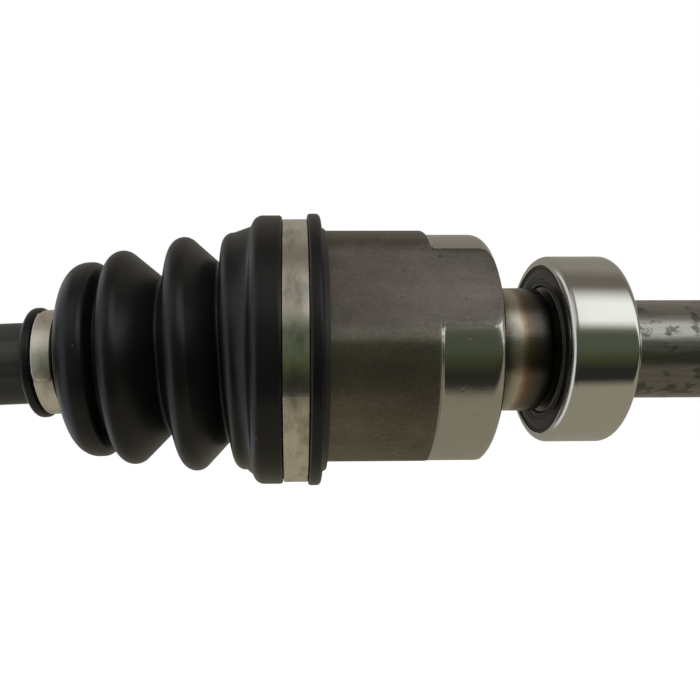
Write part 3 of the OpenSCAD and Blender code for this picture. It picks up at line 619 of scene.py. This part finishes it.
def cavity_radius(r, a):
    """Radius of the inside: a round bore joined by three roller tracks with rounded corners."""
    turn = (a - math.pi / 2 + math.pi / 3) % (2 * math.pi / 3) - math.pi / 3
    y, z = max(abs(math.sin(turn)), 1e-6), math.cos(turn)
    inner, top = TRACK_HALF - TRACK_CORNER, TRACK_DEPTH - TRACK_CORNER
    reach = min(TRACK_HALF / y, TRACK_DEPTH / z)
    if reach * y > inner and reach * z > top:
        along = inner * y + top * z
        reach = along + math.sqrt(max(0.0, along ** 2 - inner ** 2 - top ** 2 + TRACK_CORNER ** 2))
    return max(r, reach)


def build_housing():
    """Closed shell: the floor, the tracks, the flared mouth, the outside and the root of the neck."""
    inside = spread([(FLOOR_X, CAVITY_R), (MOUTH_X + FLARE_LEN, CAVITY_R), (MOUTH_X, FLARE_R)], 4.0)
    lobes = rounded([(MOUTH_X, LOBE_R - 1), (MOUTH_X + 1, LOBE_R), (STEP_X, LOBE_R),
                     (STEP_X + STEP_CONE, TURNED_R), (REAR_X - REAR_ROUND, TURNED_R)],
                    [0, 0.4, 1.6, 1.2, 0], 6)
    corner = arc((REAR_X - REAR_ROUND, TURNED_R - REAR_ROUND, REAR_ROUND, 1), math.pi / 2, 0, 24)
    fillet = arc((REAR_X + NECK_FILLET, NECK_R + NECK_FILLET, NECK_FILLET, 1), math.pi, 1.5 * math.pi, 12)
    outside = spread(lobes[:-1] + [corner[0]], 1.5)[:-1] + corner + spread([corner[-1], fillet[0]], 1.5)[1:-1]
    outside += spread(fillet + [(WELD_X, NECK_R)], 1.5)
    outline = [(FLOOR_X, 0), *inside, *outside, (WELD_X, 0)]

    def radius(i, x, r, a):
        return cavity_radius(r, a) if i <= len(inside) else outside_radius(x, r, a)

    obj = solid("tripod_housing_forging", outline, HOUSING, "inner_shaft", steps=480,
                radius=radius, sharp=28)
    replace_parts(obj, "tripod_housing")
    mesh = obj.data
    mesh.materials.append(SHAFT)
    turned, flat = (mesh.attributes.new(kind, "FLOAT", "POINT") for kind in ("turned", "flat"))
    for v in mesh.vertices:
        x, r = v.co.x / MM, math.hypot(v.co.y, v.co.z) / MM
        on_flat = r > FLAT_R - 4 and r > flat_radius(math.atan2(v.co.z, -v.co.y)) - 0.3
        flat.data[v.index].value = float(on_flat)
        turned.data[v.index].value = 1.0 if x > STEP_X + 0.3 and not on_flat and r > NECK_R + 2 else 0.0
    for face in mesh.polygons:
        x, r = face.center.x / MM, math.hypot(face.center.y, face.center.z) / MM
        if x > REAR_X + 0.2 or (x > REAR_X - 0.5 and r < NECK_R + NECK_FILLET):
            face.material_index = 1


# Shafts

def toothed(x, r, a, tip, root):
    """Radius of a spline's flanks between its root and its tip."""
    share = (a * SPLINE_TEETH / (2 * math.pi)) % 1.0
    flank = max(0.0, min(1.0, (0.36 - abs(share - 0.5)) / 0.2))
    return root + (tip - root) * flank


def build_stub():
    """Neck, bearing seat, ground shaft and the gearbox spline with its circlip groove."""
    root = GEAR_SPLINE_R - SPLINE_H
    plain = rounded([(WELD_X, NECK_R), (NECK_END - 0.8, NECK_R), (NECK_END, NECK_R - 0.8),
                     (NECK_END, SHOULDER_R), (SHOULDER_X, SHOULDER_R),
                     (SHOULDER_X, SEAT_R), (COLLAR_END - 0.5, SEAT_R),
                     (COLLAR_END, SEAT_R - 0.5), (COLLAR_END, STUB_R), (GEAR_SPLINE_X - 8, STUB_R),
                     (GEAR_SPLINE_X - 4, root)], [0, 0.5, 0.5, 0.4, 0.3, 0, 0.3, 0.2, 0.3, 2, 0])
    clip_start, clip_end = CIRCLIP_X - CIRCLIP_HALF_W, CIRCLIP_X + CIRCLIP_HALF_W
    spline = spread([(GEAR_SPLINE_X, root), (GEAR_SPLINE_X + 2.4, root), (clip_start, root)], 2.0)
    after = [(clip_end, root), (STUB_END - 3, root), (STUB_END - 1.5, root)]
    end = [(STUB_END, root - 1.5), (STUB_END, 4.0), (STUB_END - 6, 1.0), (STUB_END - 6, 0)]
    ring = [(clip_start, root - 0.4), (clip_end, root - 0.4)]
    outline = [(WELD_X, 0), *plain, *spline, *ring, *after, *end]

    def radius(i, x, r, a):
        if r != root or x < GEAR_SPLINE_X or x > STUB_END - 1.5:
            return r
        rise = min(1.0, (x - GEAR_SPLINE_X) / 2.4, (STUB_END - 1.5 - x) / 1.5)
        return toothed(x, r, a, root + SPLINE_H * rise, root)

    obj = solid("stub_shaft_ground", outline, SHAFT, "inner_shaft", steps=SPLINE_TEETH * 12,
                radius=radius)
    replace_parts(obj, "stub_shaft")


def build_wheel_stub():
    """Flange face, seat, spline and the rolled thread for the hub nut, on the wheel side of the race."""
    root = WHEEL_SPLINE_R - SPLINE_H
    seat = rounded([(WHEEL_WELD_X, RACE_NECK_R), (FLANGE_X + 2, RACE_NECK_R), (FLANGE_X, FLANGE_R),
                    (FLANGE_X, WHEEL_SEAT_R), (WHEEL_SPLINE_X + 4, WHEEL_SEAT_R)], [0, 0.6, 0.4, 0.8, 0])
    spline = spread([(WHEEL_SPLINE_X, root), (THREAD_X, root)], 2.0)
    undercut = [(THREAD_X - 1, THREAD_R - 1.2), (THREAD_X - 3, THREAD_R - 1.2)]
    thread = spread([(THREAD_X - 4, THREAD_R), (WHEEL_END + 1.5, THREAD_R)], THREAD_PITCH / 8)
    end = [(WHEEL_END, THREAD_R - 1.5), (WHEEL_END, 4.0), (WHEEL_END + 6, 1.0), (WHEEL_END + 6, 0)]
    outline = [(WHEEL_WELD_X, 0), *seat, *spline, *undercut, *thread, *end]

    def radius(i, x, r, a):
        if r == root:
            rise = max(0.0, min(1.0, (WHEEL_SPLINE_X - x) / 2.4, (x - THREAD_X) / 1.2))
            return toothed(x, r, a, root + SPLINE_H * rise, root)
        if r == THREAD_R:
            turn = (x / THREAD_PITCH + a / (2 * math.pi)) % 1.0
            return r - 0.9 * max(0.0, 1 - abs(turn - 0.5) / 0.42)
        return r

    obj = solid("wheel_stub_shaft", outline, SHAFT, "outer_race", ON_JOINT,
                steps=SPLINE_TEETH * 12, radius=radius, sharp=50)
    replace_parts(obj, "wheel_stub")


# Support bearing

def build_bearing():
    half, land = BEARING_HALF_W, BEARING_HALF_W - SEAL_T - SEAL_INSET
    here = Matrix.Translation((BEARING_X * MM, 0, 0))
    groove = arc((0.0, BALL_ROW_R, BALL_GROOVE_R, 1), math.radians(140), math.radians(40), 16)
    size = BEARING_ROUND
    corner = arc((half - size, BEARING_R - size, size, 1), math.pi / 2, 0, 14)
    ring = [(-half + 0.2, SEAL_R), (-half, SEAL_R + 0.2)] + [(-x, r) for x, r in corner[::-1]] + corner
    ring += [(half, SEAL_R + 0.2), (half - 0.2, SEAL_R)]
    inside = [(land, SEAL_R), (land, OUTER_LAND_R), *groove[::-1], (-land, OUTER_LAND_R), (-land, SEAL_R)]
    obj = solid("bearing_outer_ring_ground", ring + inside, BEARING, "bearing_seat", here,
                steps=256)
    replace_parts(obj, "bearing_outer_ring")
    face, lip = half - SEAL_INSET, INNER_LAND_R + 0.15
    for side, name in ((-1, "left"), (1, "right")):
        section = [(face - SEAL_T, lip), (face - 0.35, lip), (face - 0.2, lip + 0.35),
                   (face - 0.2, lip + 0.8), (face - 0.75, lip + 1.2), (face - 0.75, lip + 1.9),
                   (face - 0.3, lip + 2.3), (face - 0.3, lip + 2.9), (face - 0.05, lip + 3.2),
                   (face - 0.05, SEAL_R - 1.3),
                   (face - 0.35, SEAL_R - 1.1), (face - 0.35, SEAL_R - 0.85), (face, SEAL_R - 0.7),
                   (face - 0.1, SEAL_R - 0.2), (face - 0.6, SEAL_R), (face - SEAL_T, SEAL_R)]
        outline = [(side * x, r) for x, r in rounded(section, 0.16, 4)]
        seal = solid(f"bearing_seal_{name}_lipped", outline, SEAL, "bearing_seat", here,
                     steps=216)
        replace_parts(seal, f"bearing_seal_{name}")
    start = -SHOULDER_X
    collar = rounded([(start, SEAT_R), (COLLAR_END - 0.5, SEAT_R), (COLLAR_END - 0.5, COLLAR_RING_R),
                      (start, COLLAR_RING_R)], [0.2, 0.3, 0.9, 0.9], 6)
    obj = solid("bearing_collar_ring", collar, COLLAR, "inner_shaft", steps=216)
    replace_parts(obj, "bearing_collar")


def finish_cad_nodes():
    """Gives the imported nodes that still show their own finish."""
    finishes = {"bar": PAINT, "boot_adapter": PLASTIC, "outer_race": RACE, "bearing_inner_ring": RACE,
                "bearing_balls": BEARING, "gearbox_circlip": RACE}
    for name, obj in nodes.items():
        obj.data.materials.clear()
        obj.data.materials.append(finishes.get(name, HIDDEN))


# Surroundings, light, floor and camera

# A plain room for the metal to reflect
GROUND, SHADE, GARDEN, HEDGE = (0.36, 0.33, 0.25), (0.03, 0.03, 0.025), (0.06, 0.07, 0.03), (0.1, 0.12, 0.08)
WALL, CEILING = (0.33, 0.31, 0.26), (0.2, 0.18, 0.15)
DAYLIGHT, SIDE_LIGHT = (1.3, 1.35, 1.3, 1), (0.85, 0.88, 0.93, 1)
ROOM = [(-180, WALL), (-110, GROUND), (-48, GROUND), (-38, SHADE), (-25, SHADE), (-15, GARDEN), (0, HEDGE),
        (15, HEDGE), (32, WALL), (64, WALL), (78, CEILING), (92, CEILING), (110, WALL)]
WINDOW_SILL, WINDOW_TOP, LEFT_WINDOW = (19, 34), (80, 52), 0.35


def surroundings():
    """White to the camera. To the metal it is a plain room: a pale ground, a dark band with a garden's
    green at eye height, a wall and a ceiling, a window at the gearbox end, a weaker one at the wheel end
    and a soft light far to the left. Its bands follow the angle in degrees about X from -Y, upwards."""
    world = bpy.data.worlds.new("surroundings")
    bpy.context.scene.world = world
    world.use_nodes = True
    tree = world.node_tree
    for old in list(tree.nodes):
        tree.nodes.remove(old)

    def node(kind, sockets=None, **settings):
        return add_node(tree, kind, sockets, **settings)

    def maths(operation, a, b):
        return node("ShaderNodeMath", {0: a, 1: b}, operation=operation).outputs[0]

    def step(value, low, high):
        return node("ShaderNodeMapRange", {"Value": value, "From Min": low, "From Max": high},
                    interpolation_type="SMOOTHSTEP").outputs["Result"]

    def mixed(share, a, b):
        return node("ShaderNodeMix", {0: share, 6: a, 7: b}, data_type="RGBA").outputs[2]

    way = node("ShaderNodeSeparateXYZ", {0: node("ShaderNodeTexCoord").outputs["Generated"]})
    x, y, z = (way.outputs[name] for name in "XYZ")
    degrees = maths("MULTIPLY", maths("ARCTAN2", z, maths("MULTIPLY", y, -1.0)), 180 / math.pi)
    room = node("ShaderNodeValToRGB", {"Fac": maths("ADD", maths("DIVIDE", degrees, 360.0), 0.5)})
    set_ramp(room.color_ramp, [((angle + 180) / 360, colour) for angle, colour in ROOM])
    pane = maths("MULTIPLY", step(degrees, *WINDOW_SILL), step(degrees, *WINDOW_TOP))
    seen = mixed(maths("MULTIPLY", pane, step(x, 0.06, 0.4)), room.outputs["Color"], DAYLIGHT)
    left_pane = maths("MULTIPLY", pane, LEFT_WINDOW)
    seen = mixed(maths("MULTIPLY", left_pane, step(x, -0.08, -0.34)), seen, DAYLIGHT)
    seen = mixed(maths("MULTIPLY", step(x, -0.5, -0.68), step(x, -0.97, -0.86)), seen, SIDE_LIGHT)
    camera = node("ShaderNodeLightPath").outputs["Is Camera Ray"]
    inside = node("ShaderNodeBackground", {"Color": seen, "Strength": 1.0})
    white = node("ShaderNodeBackground", {"Color": (1, 1, 1, 1), "Strength": 1.0})
    both = node("ShaderNodeMixShader", {0: camera, 1: inside.outputs[0], 2: white.outputs[0]})
    tree.links.new(both.outputs[0], node("ShaderNodeOutputWorld").inputs["Surface"])


def soft_lamp(name, place, aim, size, power, colour):
    light = bpy.data.lights.new(name, "AREA")
    light.shape, light.size, light.energy, light.color = "DISK", size, power, colour
    obj = bpy.data.objects.new(name, light)
    bpy.context.scene.collection.objects.link(obj)
    obj.location = place
    obj.rotation_euler = (Vector(aim) - Vector(place)).to_track_quat("-Z", "Y").to_euler()
    obj.visible_glossy = False


FLOOR_DROP, FLOOR_HALF = 0.05, 3.0


def build_floor():
    """Pale floor under the shaft, white to the camera apart from the shaft's own shadow."""
    z, half = cad_box[0].z - FLOOR_DROP, FLOOR_HALF
    mesh = bpy.data.meshes.new("floor")
    corners = [(-half, -half, z), (half, -half, z), (half, half, z), (-half, half, z)]
    mesh.from_pydata(corners, [], [(0, 1, 2, 3)])
    floor = bpy.data.objects.new("floor", mesh)
    bpy.context.scene.collection.objects.link(floor)
    made = Finish("floor_pale", Base_Color=(0.42, 0.41, 0.37, 1), Roughness=0.9)
    tree = made.tree
    camera = made.node("ShaderNodeLightPath").outputs["Is Camera Ray"]
    white = made.node("ShaderNodeEmission", {"Color": (1, 1, 1, 1), "Strength": 0.955})
    soft = made.node("ShaderNodeBsdfDiffuse", {"Color": (0.09, 0.09, 0.09, 1)})
    seen = made.node("ShaderNodeAddShader", {0: white.outputs[0], 1: soft.outputs[0]})
    both = made.node("ShaderNodeMixShader", {0: camera, 1: made.shader.outputs[0], 2: seen.outputs[0]})
    tree.links.new(both.outputs[0], tree.nodes["Material Output"].inputs["Surface"])
    mesh.materials.append(made.mat)
    floor.visible_glossy = False


def build_camera():
    data = bpy.data.cameras.new("camera")
    data.lens, data.sensor_width = CAMERA_LENS, SENSOR_MM
    data.shift_x, data.shift_y = CAMERA_SHIFT
    camera = bpy.data.objects.new("camera", data)
    bpy.context.scene.collection.objects.link(camera)
    camera.location = [c * MM for c in CAMERA_PLACE]
    level = Matrix.Rotation(-CAMERA_YAW, 3, "Z") @ Matrix.Rotation(math.pi / 2, 3, "X")
    camera.rotation_euler = (level @ Matrix.Rotation(CAMERA_ROLL, 3, "Z")).to_euler()
    bpy.context.scene.camera = camera


# Photograph's view: a frame of 700 pixels, a little off the lens's centre
FRAME_PX, FOCAL_PX = 700.0, 686.5
CENTRE_PX = (305.0, 373.4)
CAMERA_PLACE = (-94.05, -230.6, -7.74)
CAMERA_YAW, CAMERA_ROLL = math.radians(1.25), math.radians(-0.27)
SENSOR_MM = 36.0
CAMERA_LENS = FOCAL_PX * SENSOR_MM / FRAME_PX
CAMERA_SHIFT = ((FRAME_PX / 2 - CENTRE_PX[0]) / FRAME_PX, (CENTRE_PX[1] - FRAME_PX / 2) / FRAME_PX)

build_camera()
build_inner_boot()
build_outer_boot()
build_bands()
build_housing()
build_stub()
build_wheel_stub()
build_bearing()
finish_cad_nodes()
surroundings()
soft_lamp("key_above", (0.1, -0.5, 0.9), (-0.09, 0, 0), 0.9, 8, (1.0, 0.98, 0.95))
soft_lamp("fill_left", (-0.95, -0.55, 0.2), (-0.13, 0, 0), 0.7, 5, (0.96, 0.98, 1.0))
build_floor()
bpy.context.scene.view_settings.view_transform = "Standard"
